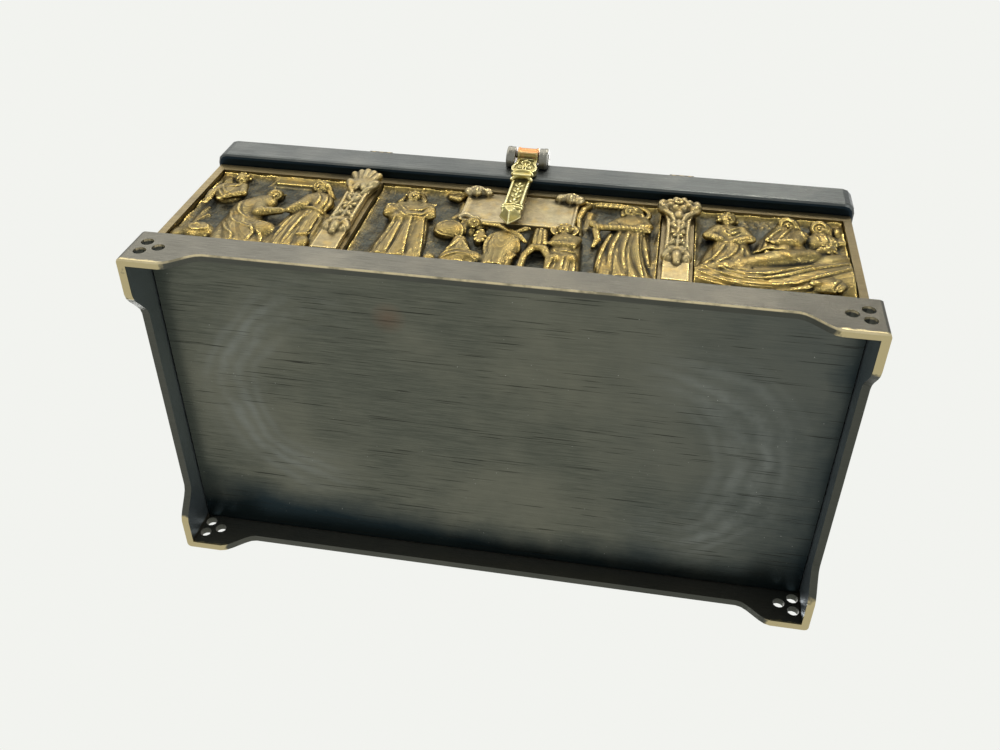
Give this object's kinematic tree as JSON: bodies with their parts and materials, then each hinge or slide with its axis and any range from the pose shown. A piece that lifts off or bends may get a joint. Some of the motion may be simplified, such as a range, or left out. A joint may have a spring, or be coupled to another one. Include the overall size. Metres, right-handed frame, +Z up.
{
  "type": "casket inkwell",
  "caption": "Gothic casket inkwell in patinated bronze: footed plinth, relief walls, hinged lid with hasp, tray with ink pots.",
  "frame": {"origin": "centre of the bounding box at the height of the desk it stands on", "axes": "+X along the casket's length to its right end seen from the front, -Y out of the front, +Z up through the lid"},
  "size_m": [0.176, 0.1056, 0.0692],
  "materials": {
    "dark_bronze": "cast bronze, dark brown-black patina, satin, rubbed lighter on edges",
    "plate_bronze": "flat bronze plate, olive-black patina, semi-gloss with fine scratches",
    "relief_bronze": "cast relief in antique gold bronze, dark in the hollows, rubbed bright on the high points",
    "lid_bronze": "smooth bronze, cool grey-brown patina, satin",
    "hasp_brass": "yellow-green aged brass with a copper-coloured patch",
    "tray_brass": "aged sheet brass, satin",
    "pin_steel": "drawn steel wire, slightly tarnished",
    "pot_ceramic": "white glazed porcelain"
  },
  "bodies": {
    "casket": {"plinth": "dark_bronze", "base_plate": "plate_bronze", "front_wall": "dark_bronze", "rear_wall": "dark_bronze", "left_wall": "dark_bronze", "right_wall": "dark_bronze", "front_relief_left": "relief_bronze", "front_relief_centre": "relief_bronze", "front_relief_right": "relief_bronze", "rear_relief_left": "relief_bronze", "rear_relief_centre": "relief_bronze", "rear_relief_right": "relief_bronze", "left_relief": "relief_bronze", "right_relief": "relief_bronze", "front_strap_left": "relief_bronze", "front_strap_right": "relief_bronze", "rear_strap_left": "relief_bronze", "rear_strap_right": "relief_bronze", "lock_plate": "relief_bronze", "insert_tray": "tray_brass", "pen_trough": "tray_brass", "hinge_pin_left": "pin_steel", "hinge_pin_right": "pin_steel"},
    "lid": {"lid_shell": "lid_bronze", "lid_relief_left": "relief_bronze", "lid_relief_centre": "relief_bronze", "lid_relief_right": "relief_bronze", "lid_strap_left": "relief_bronze", "lid_strap_right": "relief_bronze", "hasp_bracket": "hasp_brass", "hasp_pin": "pin_steel"},
    "hasp": {"hasp": "hasp_brass"},
    "pot_left": {"ink_pot_left": "pot_ceramic"},
    "cap_left": {"pot_cap_left": "tray_brass"},
    "pot_right": {"ink_pot_right": "pot_ceramic"},
    "cap_right": {"pot_cap_right": "tray_brass"}
  },
  "joints": [
    {"name": "lid_hinge", "type": "hinge", "parent": "casket", "child": "lid", "pos_m": [0, 0.0507, 0.05665], "axis": [-1, 0, 0], "range_deg": [0, 105]},
    {"name": "hasp_hinge", "type": "hinge", "parent": "lid", "child": "hasp", "pos_m": [0, -0.0502, 0.067], "axis": [-1, 0, 0], "range_deg": [0, 235]},
    {"name": "pot_left_lift", "type": "slide", "parent": "casket", "child": "pot_left", "axis": [0, 0, 1], "range_m": [0, 0.006]},
    {"name": "cap_left_lift", "type": "slide", "parent": "pot_left", "child": "cap_left", "axis": [0, 0, 1], "range_m": [0, 0.006]},
    {"name": "pot_right_lift", "type": "slide", "parent": "casket", "child": "pot_right", "axis": [0, 0, 1], "range_m": [0, 0.006]},
    {"name": "cap_right_lift", "type": "slide", "parent": "pot_right", "child": "cap_right", "axis": [0, 0, 1], "range_m": [0, 0.006]}
  ]
}
